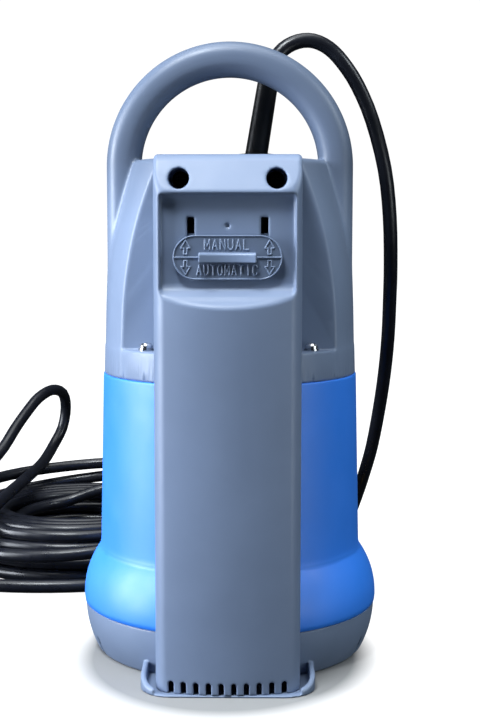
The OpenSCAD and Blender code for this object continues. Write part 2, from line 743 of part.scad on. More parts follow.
module cord_boot() {
    color([0.07, 0.07, 0.08]) translate(boot_foot) translate([0, 0, 4.2]) rotate([0, boot_lean, 0])
        rotate_extrude() polygon([[0, 0], [6.5, 0], [6.2, boot_len * 0.5], [5.9, boot_len - 6],
            [4.7, boot_len - 4], [0, boot_len - 4]]);
}

module cord_clamp() {
    color([0.15, 0.15, 0.16]) difference() {
        block([-3, 16, cap_top_z - 17], [33, 32, cap_top_z - 8.1]);
        translate([boot_foot[0], boot_foot[1], 200]) cylinder(r = cord_r, h = 100);
        for (x = clamp_x) translate([x, boot_foot[1], 200]) cylinder(r = 1.8, h = 100, $fn = 24);
    }
}

module cord_clamp_screws() {
    color([0.78, 0.78, 0.8]) for (x = clamp_x)
        translate([x, boot_foot[1], cap_top_z - 17.05]) rotate([180, 0, 0])
            pan_screw(1.4, 13.4, 3, 2.2);
}

module power_cord() {
    color([0.06, 0.06, 0.07]) tube_along(spline(cord_route, 2), cord_r);
}

module cord_end() {
    color([0.06, 0.06, 0.07]) tube_along(spline(end_route, 1), cord_r);
}

module cord_coil() {
    color([0.06, 0.06, 0.07]) translate(coil_centre) rotate_extrude() polygon([
        [coil_in_r, 0], [coil_out_r, 0], [coil_out_r, coil_h * 0.45], [coil_out_r - 14, coil_h * 0.8],
        [coil_out_r - 30, coil_h], [coil_in_r + 14, coil_h], [coil_in_r, coil_h * 0.6]]);
}

module plug_body() {
    color([0.06, 0.06, 0.07]) translate(plug_at) rotate([0, 90, 0]) {
        difference() {
            union() {
                cylinder(r = 19, h = 18);
                translate([0, 0, -20]) cylinder(r1 = 11, r2 = 18, h = 20.01);
                translate([0, 0, -44]) cylinder(r1 = 5.6, r2 = 7.5, h = 24.01);
            }
            for (y = [-9.5, 9.5]) translate([0, y, 8]) cylinder(r = 2.42, h = 20, $fn = 32);
            for (x = [-1, 1]) block([x * 18 - 1.5, -3, 10], [x * 18 + 1.5, 3, 20]);
        }
    }
}

module plug_pins() {
    color([0.8, 0.78, 0.7]) translate(plug_at) rotate([0, 90, 0]) for (y = [-9.5, 9.5]) {
        translate([0, y, 8.1]) cylinder(r = 2.4, h = 27, $fn = 32);
        translate([0, y, 35.1 - eps]) cylinder(r1 = 2.4, r2 = 1.2, h = 1.9, $fn = 32);
    }
}

// ---- discharge -----------------------------------------------------------------------------

elbow_y = 132;                   // axis of the rising hose tail
elbow_r = 19;                    // radius of the bend

module discharge_seal() {
    color([0.08, 0.08, 0.09]) translate([0, 0, port_z]) difference() {
        rod_y(18.5, port_end_y + 0.05, port_end_y + 1.95);
        rod_y(13, 100, 120);
    }
}

module union_nut() {
    color([0.12, 0.12, 0.13]) translate([0, 0, port_z]) difference() {
        union() {
            rod_y(25.6, 89, 113.4);
            for (i = [0:17]) rotate([0, 20 * i, 0]) rod_y(1.8, 90.5, 112, 25.2, $fn = 24);
        }
        rod_y(thread_r + 0.15, 80, 112.15);
        rod_y(17.2, 80, 120);
    }
}

// A quarter bend about its centre, from +Y round to +Z, of a full or hollow section.
module bend(r_out, r_in) {
    translate([0, elbow_y - elbow_r, port_z + elbow_r]) rotate([-90, 0, 90])
        rotate_extrude(angle = 90) translate([elbow_r, 0]) difference() {
            circle(r = r_out, $fn = 64);
            circle(r = r_in, $fn = 64);
        }
}

module discharge_elbow() {
    color([0.12, 0.12, 0.13]) {
        translate([0, 0, port_z]) difference() {
            union() {
                rod_y(20.5, port_end_y + 2, port_end_y + 4);
                rod_y(16.5, port_end_y + 4, elbow_y - elbow_r);
            }
            rod_y(port_bore_r, 90, 120);
        }
        bend(16.5, port_bore_r);
        translate([0, elbow_y, 0]) ring(16.5, port_bore_r, port_z + elbow_r, 88);
    }
}

module hose_tail() {
    color([0.12, 0.12, 0.13]) translate([0, elbow_y, 0]) difference() {
        union() {
            translate([0, 0, 78]) cylinder(r = 22, h = 16, $fn = 8);
            translate([0, 0, 90]) rotate_extrude() polygon([[0, 0], [18, 0], [18, 6], [16, 8],
                [16, 12], [15.2, 12.4], [15.2, 14], [16, 15], [16, 20], [15.2, 20.4], [15.2, 22],
                [16, 23], [16, 28], [12.5, 31], [12.5, 36], [11.8, 36.4], [11.8, 38], [12.5, 39],
                [12.5, 54], [11.5, 56], [0, 56]]);
        }
        translate([0, 0, 70]) cylinder(r = 16.6, h = 18.2);
        translate([0, 0, 70]) cylinder(r = 10, h = 100);
    }
}

// ---- one line for each node ----------------------------------------------------------------

strainer_base();
base_screws();
suction_plate();
suction_plate_screws();
body_shell();
cap_gasket();
top_cap();
cap_screws();
cap_washers();
motor_can();
lower_bracket();
upper_bracket();
stator_core();
stator_windings();
lower_bearing();
upper_bearing();
seal_seat();
seal_spring();
rotor_core();
motor_shaft();
impeller();
impeller_nut();
run_capacitor();
terminal_block();
float_cover();
float_cover_screws();
float_back_plate();
float_shell();
float_lid();
float_magnet();
mode_slider();
slider_clip();
slider_magnet();
switch_pod();
pod_seal();
pod_nut();
reed_switches();
gland_nut();
cord_boot();
cord_clamp();
cord_clamp_screws();
discharge_seal();
union_nut();
discharge_elbow();
hose_tail();
power_cord();
cord_coil();
cord_end();
plug_body();
plug_pins();
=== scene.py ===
"""Submersible drainage pump with a float column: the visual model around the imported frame.

Shapes are worked out in millimetres and scaled to metres when their meshes are made.
+Z is up, the shaft is the Z axis, the float column faces -Y.
"""
import json
import math

import bpy
import numpy as np
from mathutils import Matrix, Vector


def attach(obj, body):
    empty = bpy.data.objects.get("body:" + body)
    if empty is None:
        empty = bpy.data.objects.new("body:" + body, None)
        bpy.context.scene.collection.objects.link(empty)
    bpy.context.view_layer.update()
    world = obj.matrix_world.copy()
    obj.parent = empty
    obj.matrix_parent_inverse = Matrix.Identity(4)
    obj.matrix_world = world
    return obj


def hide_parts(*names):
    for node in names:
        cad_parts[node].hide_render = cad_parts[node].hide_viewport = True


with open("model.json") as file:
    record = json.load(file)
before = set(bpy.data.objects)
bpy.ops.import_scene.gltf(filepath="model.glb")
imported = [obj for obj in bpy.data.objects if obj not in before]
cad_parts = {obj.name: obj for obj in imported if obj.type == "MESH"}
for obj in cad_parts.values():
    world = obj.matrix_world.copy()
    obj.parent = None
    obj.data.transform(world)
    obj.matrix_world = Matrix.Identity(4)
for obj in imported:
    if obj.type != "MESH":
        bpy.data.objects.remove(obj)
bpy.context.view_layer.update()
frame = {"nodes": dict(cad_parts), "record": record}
MM = 0.001
FAR = 1e3  # a distance beyond anything on the pump, in millimetres

# ---- camera ----------------------------------------------------------------------------------

CAMERA_DISTANCE, CAMERA_HEIGHT = 0.75, 0.242
CAMERA_TURN, CAMERA_TILT = math.radians(0.7), math.radians(6.0)
cam_data = bpy.data.cameras.new("camera")
cam_data.sensor_width = 36.0
cam_data.lens = 65.8
cam_data.shift_x = 0.0141
camera = bpy.data.objects.new("camera", cam_data)
camera.location = (CAMERA_DISTANCE * math.sin(CAMERA_TURN),
    -CAMERA_DISTANCE * math.cos(CAMERA_TURN), CAMERA_HEIGHT)
camera.rotation_euler = (math.pi / 2 - CAMERA_TILT, 0.0, CAMERA_TURN)
bpy.context.scene.collection.objects.link(camera)
bpy.context.scene.camera = camera

# ---- the lead --------------------------------------------------------------------------------

CORD_R = 4.3
FLOOR_Z = CORD_R + 0.1  # height of the lead's middle where it lies on the floor
COIL_CENTRE = (-112.0, 196.0)
CORD_ROUTE = [(22.4, 24, 325), (24.6, 24, 333), (30.5, 25, 341), (39, 26, 345.5), (48, 27, 346),
    (57, 28, 342), (65, 28, 334), (74, 30, 321), (83, 32, 301), (91, 36, 273), (95, 42, 245),
    (97, 52, 216), (98, 64, 194), (99, 80, 170), (99, 98, 145), (98, 120, 118), (96, 145, 89),
    (93, 163, 68), (89, 182, 46), (84, 199, 26), (76, 216, 11), (64, 231, 4.5), (48, 244, 4.4),
    (26, 257, 4.4), (0, 269, 4.4), (-30, 281, 4.4), (-62, 291, 4.4), (-94, 296, 4.4)]
END_ROUTE = [(-190, 241, 44), (-204, 219, 45), (-216, 197, 44), (-225, 173, 41), (-230, 148, 37),
    (-226, 125, 33), (-211, 108, 31), (-192, 105, 32), (-176, 115, 36), (-168, 134, 41),
    (-165, 158, 45), (-162, 182, 47), (-158, 210, 49), (-154, 238, 51), (-151, 266, 53),
    (-150, 289, 55), (-148, 309, 60), (-142, 322, 73), (-139, 322, 90), (-140, 312, 103),
    (-146, 294, 108), (-154, 276, 104), (-160, 259, 96), (-166, 240, 86), (-172, 220, 74),
    (-181, 199, 62), (-191, 178, 49), (-201, 158, 33), (-208, 137, 17), (-205, 117, 7),
    (-190, 102, 4.4), (-165, 94, 4.4), (-130, 90, 4.4), (-95, 93, 4.4), (-65, 103, 4.4),
    (-44, 117, 5.5), (-27, 132.5, 8.5), (-16, 146.5, 13), (-6, 153.5, 17.5), (6, 156, 20)]


def smooth_step(t):
    t = min(max(t, 0.0), 1.0)
    return t * t * (3.0 - 2.0 * t)


def spline(points, steps):
    """A Catmull-Rom curve through the points, with that many steps between each pair."""
    p = [Vector(q) for q in points]
    out = []
    for i in range(len(p) - 1):
        a, b, c, d = p[max(i - 1, 0)], p[i], p[i + 1], p[min(i + 2, len(p) - 1)]
        for k in range(steps):
            t = k / steps
            out.append(0.5 * (2 * b + (c - a) * t + (2 * a - 5 * b + 4 * c - d) * t * t
                + (3 * b - a - 3 * c + d) * t * t * t))
    return out + [p[-1]]


# the wound turns: from where the lead comes in, through four columns and four layers
LEAD_IN_ANGLE, LEAD_IN_R = 80.0, 101.5
WOUND_FROM, WOUND_TO, WOUND_STEP = 150.0, 5640.0, 7.5
COLUMNS = (83.0, 74.2, 65.4, 56.6)
LAYER_RISE, LAYER_SAG = 8.8, 1.1
LAYER_OFFSET = ((0.0, 0.0), (1.6, -1.4), (-1.8, -0.6), (1.0, 1.6))
CHANGE_FROM, CHANGE_OVER = 10.0, 60.0
# running angle, radius and height of the last turns: over the coil to its inside, back over it
# and loosely round its outside, then on top again to where END_ROUTE starts
LAST_TURNS = [(5640, 83, 32), (5700, 83, 32.6), (5765, 83, 40.5), (5800, 66, 41.5), (5835, 48, 38),
    (5880, 45.5, 28), (6060, 45.5, 28), (6110, 48, 37), (6140, 58, 48), (6160, 71, 50.5),
    (6182, 86, 47), (6205, 95.4, 39), (6240, 96, 32), (6300, 96, 24), (6360, 96, 20.5),
    (6420, 96, 27), (6470, 96, 38), (6510, 95.5, 47.5), (6550, 94.5, 50.5), (6590, 92, 47),
    (6630, 90, 44)]


def polar(angle, radius, z, offset=(0.0, 0.0)):
    a = math.radians(angle)
    return Vector((COIL_CENTRE[0] + offset[0] + radius * math.cos(a),
        COIL_CENTRE[1] + offset[1] + radius * math.sin(a), z))


def keyed(keys, x):
    """Smooth values between rows of keys, whose first column is x."""
    i = max(0, min(len(keys) - 2, sum(1 for k in keys if k[0] <= x) - 1))
    rows = [keys[max(i - 1, 0)], keys[i], keys[i + 1], keys[min(i + 2, len(keys) - 1)]]
    width = rows[2][0] - rows[1][0]
    t = (x - rows[1][0]) / width
    out = []
    for j in range(1, len(keys[0])):
        slope = [(rows[k + 2][j] - rows[k][j]) / (rows[k + 2][0] - rows[k][0]) * width
            for k in (0, 1)]
        a, b = rows[1][j], rows[2][j]
        out.append(a + slope[0] * t + (3 * (b - a) - 2 * slope[0] - slope[1]) * t * t
            + (2 * (a - b) + slope[0] + slope[1]) * t ** 3)
    return out


def wound_point(angle):
    """The lead in the wound turns, four to a layer; each turn begins with a change of column."""
    def place(turn):
        layer, column = divmod(max(turn, 0), len(COLUMNS))
        return COLUMNS[column if layer % 2 == 0 else -1 - column], layer

    turn = math.floor((angle - CHANGE_FROM) / 360.0)
    along = smooth_step((angle - CHANGE_FROM - 360.0 * turn) / CHANGE_OVER)
    (r0, k0), (r1, k1) = place(turn - 1), place(turn)
    layer = k0 + (k1 - k0) * along
    off = [LAYER_OFFSET[k0][j] * (1 - along) + LAYER_OFFSET[k1][j] * along for j in (0, 1)]
    a = math.radians(angle)
    z = FLOOR_Z + layer * (LAYER_RISE + LAYER_SAG * (0.5 - 0.5 * math.sin(a)))
    radius = r0 + (r1 - r0) * along + 0.7 * math.sin(2 * a + 1.7 * layer)
    return polar(angle, radius, z, off)


def coil_points():
    """The coil's points, from the way in over the wound turns to the last loose ones."""
    start = wound_point(WOUND_FROM)
    r_start = math.hypot(start.x - COIL_CENTRE[0], start.y - COIL_CENTRE[1])
    points = []
    for i in range(1, 10):
        t = i / 10.0
        points.append(polar(LEAD_IN_ANGLE + (WOUND_FROM - LEAD_IN_ANGLE) * t,
            LEAD_IN_R + (r_start - LEAD_IN_R) * smooth_step(t), FLOOR_Z))
    half = WOUND_STEP / 2
    points += [wound_point(a) for a in np.arange(WOUND_FROM, WOUND_TO - half, WOUND_STEP)]
    for a in np.arange(WOUND_TO, LAST_TURNS[-1][0] - half, WOUND_STEP):
        r, z = keyed(LAST_TURNS, a)
        wound = max(0.0, 1.0 - (a - WOUND_TO) / 240.0)
        r += 0.7 * wound * math.sin(2 * math.radians(a) + 5.1)
        points.append(polar(a, r, z, [wound * v for v in LAYER_OFFSET[3]]))
    return points


lead_points = spline(CORD_ROUTE, 3) + coil_points() + spline(END_ROUTE, 3)


def make_lead():
    """The lead as a mesh tube along its own points."""
    data = bpy.data.curves.new("lead_line", "CURVE")
    data.dimensions = "3D"
    data.bevel_depth = CORD_R * MM
    data.bevel_resolution = 5
    data.use_fill_caps = True
    line = data.splines.new("POLY")
    line.points.add(len(lead_points) - 1)
    line.points.foreach_set("co", [v for p in lead_points for v in (*(p * MM), 1.0)])
    line.use_smooth = True
    line_obj = bpy.data.objects.new("lead_line", data)
    bpy.context.scene.collection.objects.link(line_obj)
    depsgraph = bpy.context.evaluated_depsgraph_get()
    mesh = bpy.data.meshes.new_from_object(line_obj.evaluated_get(depsgraph))
    mesh.name = "lead"
    bpy.data.objects.remove(line_obj)
    bpy.data.curves.remove(data)
    obj = bpy.data.objects.new("lead", mesh)
    bpy.context.scene.collection.objects.link(obj)
    return obj


lead = make_lead()
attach(lead, "pump")
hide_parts("power_cord", "cord_coil", "cord_end")


# ---- solids from distance fields -------------------------------------------------------------
# A field gives each point's signed distance in millimetres: negative inside, positive outside.

def both(a, b, r=0.0):
    """Where both fields are inside, with the outer edge rounded to radius r."""
    if r <= 0:
        return np.maximum(a, b)
    return np.minimum(np.maximum(a, b), -r) + np.hypot(np.maximum(a + r, 0), np.maximum(b + r, 0))


def either(a, b, r=0.0):
    """Where either field is inside, with the inner corner filled to radius r."""
    return -both(-a, -b, r)


def less(a, b, r=0.0):
    """Field a without field b, with the cut's edge rounded to radius r."""
    return both(a, -b, r)


def steps(*spans):
    """Grid lines through spans of (from, to, step)."""
    out = [np.array([spans[0][0]])]
    for low, high, step in spans:
        n = max(1, int(round((high - low) / step)))
        out.append(low + (high - low) * np.arange(1, n + 1) / n)
    return np.concatenate(out)


def surface_net(field, xs, ys, zs):
    """Vertices (mm) and quads of the field's surface on the grid."""
    f = field(xs[:, None, None], ys[None, :, None], zs[None, None, :])
    f = np.broadcast_to(f, (len(xs), len(ys), len(zs)))
    f = np.where(f == 0, 1e-7, f)
    cells = (len(xs) - 1, len(ys) - 1, len(zs) - 1)
    total = np.zeros((cells[0] * cells[1] * cells[2], 3))
    count = np.zeros(len(total))
    grid = (xs, ys, zs)
    quads = []
    for axis in range(3):
        a = f[tuple(slice(0, -1) if k == axis else slice(None) for k in range(3))]
        b = f[tuple(slice(1, None) if k == axis else slice(None) for k in range(3))]
        index = np.array(np.nonzero((a < 0) != (b < 0)))
        va, vb = a[tuple(index)], b[tuple(index)]
        t = va / (va - vb)
        point = np.stack([grid[k][index[k]] for k in range(3)], 1)
        point[:, axis] += t * (grid[axis][index[axis] + 1] - grid[axis][index[axis]])
        u, v = (axis + 1) % 3, (axis + 2) % 3
        ring = []
        good = np.ones(index.shape[1], bool)
        for du, dv in ((0, 0), (1, 0), (1, 1), (0, 1)):
            cell = index.copy()
            cell[u] -= du
            cell[v] -= dv
            good &= (cell[u] >= 0) & (cell[v] >= 0) & (cell[u] < cells[u]) & (cell[v] < cells[v])
            ring.append(cell)
        flat = [np.ravel_multi_index(tuple(np.clip(c[k], 0, cells[k] - 1) for k in range(3)), cells)
            for c in ring]
        for number in flat:
            for k in range(3):
                total[:, k] += np.bincount(number[good], point[good, k], len(total))
            count += np.bincount(number[good], None, len(total))
        quad = np.stack(flat, 1)[good]
        turned = (va < 0)[good]
        quad[~turned] = quad[~turned][:, ::-1]
        quads.append(quad)
    quads = np.concatenate(quads)
    used = np.nonzero(count)[0]
    number = np.zeros(len(total), int)
    number[used] = np.arange(len(used))
    return total[used] / count[used, None], number[quads]


def settle(field, points, reach, rounds=4):
    """Moves points on to the field's surface, none further than reach in one round."""
    h = 0.02
    for _ in range(rounds):
        x, y, z = points.T
        value = field(x, y, z)
        slope = np.stack([field(x + h, y, z) - field(x - h, y, z),
            field(x, y + h, z) - field(x, y - h, z),
            field(x, y, z + h) - field(x, y, z - h)], 1) / (2 * h)
        move = slope * (value / np.maximum((slope ** 2).sum(1), 0.2))[:, None]
        size = np.linalg.norm(move, axis=1)
        points = points - move * np.minimum(1.0, reach / np.maximum(size, 1e-9))[:, None]
    return points


def mesh_object(name, points, faces):
    data = bpy.data.meshes.new(name)
    data.from_pydata((points * MM).tolist(), [], faces.tolist())
    data.update()
    obj = bpy.data.objects.new(name, data)
    bpy.context.scene.collection.objects.link(obj)
    return obj


def thinned(obj, ratio):
    """Collapses the mesh to a share of its faces, most where it is flat."""
    modifier = obj.modifiers.new("thin", "DECIMATE")
    modifier.ratio = ratio
    depsgraph = bpy.context.evaluated_depsgraph_get()
    data = bpy.data.meshes.new_from_object(obj.evaluated_get(depsgraph))
    old = obj.data
    obj.modifiers.clear()
    obj.data = data
    bpy.data.meshes.remove(old)
    data.name = obj.name


def smooth(obj):
    obj.data.polygons.foreach_set("use_smooth", [True] * len(obj.data.polygons))


def solid(name, field, xs, ys, zs, ratio):
    """A smooth piece of the field's surface, thinned to a share of its faces."""
    points, quads = surface_net(field, xs, ys, zs)
    reach = 0.5 * min(np.diff(xs).min(), np.diff(ys).min(), np.diff(zs).min())
    obj = mesh_object(name, settle(field, points, reach), quads)
    thinned(obj, ratio)
    smooth(obj)
    print(name, len(obj.data.polygons), "faces")
    return obj


def lathe(profile, sides=192):
    """Points and quads of a closed profile of (radius, height) turned about Z."""
    n = len(profile)
    angles = np.arange(sides) * 2 * math.pi / sides
    r, z = np.array(profile, float).T
    points = np.stack([np.outer(np.cos(angles), r), np.outer(np.sin(angles), r),
        np.broadcast_to(z, (sides, n))], 2).reshape(-1, 3)
    faces = []
    for i in range(sides):
        j = (i + 1) % sides
        for k in range(n):
            m = (k + 1) % n
            faces.append((i * n + k, j * n + k, j * n + m, i * n + m))
    return points, np.array(faces)


def arc(centre, radius, start, end, count):
    a = np.radians(np.linspace(start, end, count + 1))
    return [(centre[0] + radius * math.cos(t), centre[1] + radius * math.sin(t)) for t in a]


# ---- the cap and its handle ------------------------------------------------------------------

BASE_Z, CREASE_Z, BODY_TOP_Z, LEDGE_Z, CAP_TOP_Z = 26.5, 58.0, 157.0, 173.0, 276.0
BASE_CENTRE_R, BASE_CURVE_R = 28.2, 55.0
BULGE_CENTRE, BULGE_R = (39.0, 30.0), 45.0
BODY_TOP_R, BODY_CREASE_R = 72.0, 74.2
CAP_HALF_DEPTH = 40.0
HANDLE_Z, HANDLE_MID_R = 272.5, 59.6
SCREW_XY = 44.5


def dome(r, z, inset=0.0):
    """The cap's turned outside, which draws in above the ledge."""
    up = np.maximum(0.0, (z - 190.0) / 86.0)
    radius = 71.2 - 0.03 * (z - BODY_TOP_Z) - 13.2 * up * up - inset
    return (r - radius) / np.sqrt(1.0 + (0.03 + 0.307 * up) ** 2)


def bar(u, v, half_u, half_v, power=2.6):
    """A bar whose section is squarer than an ellipse."""
    a, b = np.abs(u) / half_u + 1e-6, np.abs(v) / half_v + 1e-6
    total = a ** power + b ** power
    size = total ** (1 / power)
    scale = total ** (1 / power - 1)
    return (size - 1) / np.hypot(scale * a ** (power - 1) / half_u,
        scale * b ** (power - 1) / half_v)


def cap_field(x, y, z):
    r = np.hypot(x, y)
    main = both(dome(r, z), np.abs(y) - CAP_HALF_DEPTH, 0.8)
    main = both(main, z - CAP_TOP_Z, 2.6)
    foot = both(dome(r, z), z - LEDGE_Z, 0.7)
    shape = either(main, foot, 0.8)
    mid = np.where(z > HANDLE_Z, np.hypot(x, z - HANDLE_Z), np.abs(x)) - HANDLE_MID_R
    handle = np.maximum(bar(mid, y, 9.7, 13.5), 165.0 - z)
    shape = either(shape, handle, 1.6)
    hollow = np.maximum(dome(r, z, 3.0), z - 170.0)
    post = np.hypot(np.abs(x) - SCREW_XY, np.abs(y) - SCREW_XY) - 5.5
    hollow = np.maximum(hollow, -post)
    upper = np.maximum(np.maximum(dome(r, z, 3.4), np.abs(y) - 37.0), z - 273.0)
    shape = less(shape, np.minimum(hollow, upper), 0.5)
    shape = less(shape, np.maximum(np.hypot(x - 15, y - 24) - 7.2, 260 - z), 0.4)
    return both(shape, BODY_TOP_Z - z, 0.5)


# ---- the float column ------------------------------------------------------------------------

RECESS_Y, RECESS_HALF_W, RECESS_Z0, RECESS_Z1 = -89.5, 34.0, 209.0, 256.0
COVER_SCREW_X, COVER_SCREW_Z = 24.5, 263.5
LEG_X = 18.5
INLETS, INLET_PITCH, INLET_FIRST_X, INLET_TOP_Z = 10, 6.45, -29.0, 6.0


def body_profile(z):
    """Radius of the base, the body and the cap's foot at height z."""
    base = BASE_CENTRE_R + np.sqrt(np.maximum(BASE_CURVE_R ** 2 - (BASE_Z - z) ** 2, 0))
    bulge = BULGE_CENTRE[0] + np.sqrt(np.maximum(BULGE_R ** 2 - (z - BULGE_CENTRE[1]) ** 2, 0))
    taper = (BODY_CREASE_R - BODY_TOP_R) * (z - CREASE_Z) / (BODY_TOP_Z - CREASE_Z)
    side = np.maximum(BODY_CREASE_R - taper, BODY_TOP_R)
    return np.where(z < BASE_Z, base, np.where(z < CREASE_Z, bulge, side))


def column_field(x, y, z):
    r = np.hypot(x, y)
    outline = both(np.abs(x) - 37.5, np.where(y < 0, r, 0.0) - 100.0, 6.0)
    slope = ((y + 95.0) * -20.0 + (z - RECESS_Z1) * 13.0) / 23.854
    sill = ((y - RECESS_Y) * -9.0 + (z - RECESS_Z0) * 10.5) / 13.829
    block = both(outline, both(slope, z - CAP_TOP_Z, 4.0), 2.2)
    block = both(block, either(-(y + 95.0), sill, 2.0), 1.6)
    recess = both(both(y - RECESS_Y, z - RECESS_Z1, 5.2), np.abs(x) - RECESS_HALF_W, 1.6)
    recess = both(recess, -sill, 2.0)
    block = less(block, recess, 1.3)
    shell = np.maximum(block, -(block + 2.4))
    boss = np.hypot(np.abs(x) - COVER_SCREW_X, z - COVER_SCREW_Z)
    shell = np.minimum(shell, np.maximum(np.maximum(boss - 7.2, block), y + 41.0))
    shell = less(shell, np.maximum(boss - 5.3, y + 66.0), 0.7)
    shell = less(shell, boss - 2.4)
    for side in (-1, 1):
        slot = both(np.abs(x - side * LEG_X) - 1.9, np.abs(z - 235.0) - 9.3, 0.3)
        shell = less(shell, np.maximum(slot, np.abs(y - RECESS_Y) - 4.0), 0.25)
    dimple = np.sqrt(x * x + (y - RECESS_Y + 0.2) ** 2 + (z - 239.9) ** 2) - 1.4
    shell = less(shell, dimple, 0.2)
    number = np.clip(np.round((x - INLET_FIRST_X) / INLET_PITCH), 0, INLETS - 1)
    off = x - (number * INLET_PITCH + INLET_FIRST_X)
    inlet = np.where(z > INLET_TOP_Z, np.hypot(off, z - INLET_TOP_Z), np.abs(off)) - 1.35
    shell = less(shell, np.maximum(inlet, y + 80.0), 0.5)
    # clear of the cap's flat front, and of the round parts below its ledge
    shell = np.maximum(shell, np.where(z > 153.0, y + CAP_HALF_DEPTH + 0.1, -FAR))
    shell = np.maximum(shell, np.where(z < LEDGE_Z + 0.3, body_profile(z) + 0.4 - r, -FAR))
    return np.maximum(shell, 1.1 - z)


# ---- the strainer base -----------------------------------------------------------------------

SUCTION_SLOTS, SUCTION_PITCH, SUCTION_FIRST = 20, math.radians(12), math.radians(66 - 90)
SUCTION_TOP_Z = 9.0


def base_field(x, y, z):
    r = np.hypot(x, y)
    bowl = np.where(r > BASE_CENTRE_R, np.hypot(r - BASE_CENTRE_R, z - BASE_Z),
        np.abs(z - BASE_Z))
    outer = both(both(bowl - BASE_CURVE_R, -z, 1.2), z - BASE_Z, 0.35)
    inner = np.maximum(bowl - (BASE_CURVE_R - 2.6), 3.0 - z)
    shape = less(outer, inner, 0.3)
    posts = FAR
    for a in (48, 132, 228, 312):
        t = math.radians(a - 90)
        posts = np.minimum(posts, np.hypot(x - 69 * math.cos(t), y - 69 * math.sin(t)) - 5.0)
    shape = np.minimum(shape, np.maximum(np.maximum(posts, outer), 1.0 - z))
    turn = np.mod(np.arctan2(y, x) - SUCTION_FIRST + SUCTION_PITCH / 2, 2 * math.pi)
    number = np.floor(turn / SUCTION_PITCH)
    off = turn - (number + 0.5) * SUCTION_PITCH
    across, out = r * np.sin(off), r * np.cos(off)
    slot = np.where(z > SUCTION_TOP_Z, np.hypot(across, z - SUCTION_TOP_Z), np.abs(across)) - 1.5
    slot = np.maximum(slot, 70.0 - out)
    slot = np.where(number < SUCTION_SLOTS, slot, FAR)
    shape = less(shape, slot, 0.4)
    # the foot tray under the float column, its rim sloping down to the front
    outline = both(np.abs(x) - 45.5, -y - 99.6, 16.0)
    ahead = np.clip((-y - 80.0) / 17.0, 0, 1)
    rim_z = 8.4 - 5.0 * ahead * ahead * (3 - 2 * ahead)
    foot = both(outline, z - rim_z, 1.2)
    foot = less(foot, np.maximum(outline + 2.8, 1.0 - z), 0.8)
    foot = less(foot, np.maximum(np.abs(x) - 37.8, 1.0 - z), 0.3)
    foot = np.maximum(np.maximum(foot, -z), np.maximum(y + 60.0, 76.2 - r))
    return np.minimum(shape, foot)


# ---- the mode slider -------------------------------------------------------------------------

SLIDER_Z, SLIDER_FRONT = 224.2, -92.2


def line_distance(u, v, a, b):
    """Distance of (u, v) from the straight stroke from a to b."""
    du, dv = b[0] - a[0], b[1] - a[1]
    t = np.clip(((u - a[0]) * du + (v - a[1]) * dv) / (du * du + dv * dv), 0, 1)
    return np.hypot(u - a[0] - t * du, v - a[1] - t * dv)


def path_distance(u, v, *points):
    out = FAR
    for a, b in zip(points, points[1:]):
        out = np.minimum(out, line_distance(u, v, a, b))
    return out


def letter(u, v, kind, w, h):
    """Distance from a plain capital's strokes; its lower left corner is (0, 0)."""
    m = w / 2
    if kind == "A":
        return np.minimum(path_distance(u, v, (0, 0), (m, h), (w, 0)),
            line_distance(u, v, (w * 0.2, h * 0.34), (w * 0.8, h * 0.34)))
    if kind == "C":
        return path_distance(u, v, (w, h * 0.8), (w * 0.7, h), (w * 0.3, h), (0, h * 0.75),
            (0, h * 0.25), (w * 0.3, 0), (w * 0.7, 0), (w, h * 0.2))
    if kind == "I":
        return line_distance(u, v, (m, 0), (m, h))
    if kind == "L":
        return path_distance(u, v, (0, h), (0, 0), (w, 0))
    if kind == "M":
        return path_distance(u, v, (0, 0), (0, h), (m, h * 0.3), (w, h), (w, 0))
    if kind == "N":
        return path_distance(u, v, (0, 0), (0, h), (w, 0), (w, h))
    if kind == "O":
        return path_distance(u, v, (w * 0.3, 0), (0, h * 0.25), (0, h * 0.75), (w * 0.3, h),
            (w * 0.7, h), (w, h * 0.75), (w, h * 0.25), (w * 0.7, 0), (w * 0.3, 0))
    if kind == "T":
        return np.minimum(line_distance(u, v, (0, h), (w, h)), line_distance(u, v, (m, 0), (m, h)))
    return path_distance(u, v, (0, h), (0, h * 0.25), (w * 0.3, 0), (w * 0.7, 0), (w, h * 0.25),
        (w, h))


def words(u, v, text, left, base, height, pitch):
    out = FAR
    for i, kind in enumerate(text):
        out = np.minimum(out, letter(u - left - i * pitch, v - base, kind, pitch * 0.62, height))
    return out


def arrow(u, v, x, base, up):
    """Outline of a block arrow, 7 mm tall."""
    tall = 7.0
    p = [(-0.8, 0), (-0.8, 3.0), (-2.3, 3.0), (0, tall), (2.3, 3.0), (0.8, 3.0), (0.8, 0),
        (-0.8, 0)]
    p = [(x + q[0], base + (q[1] if up else tall - q[1])) for q in p]
    return path_distance(u, v, *p)


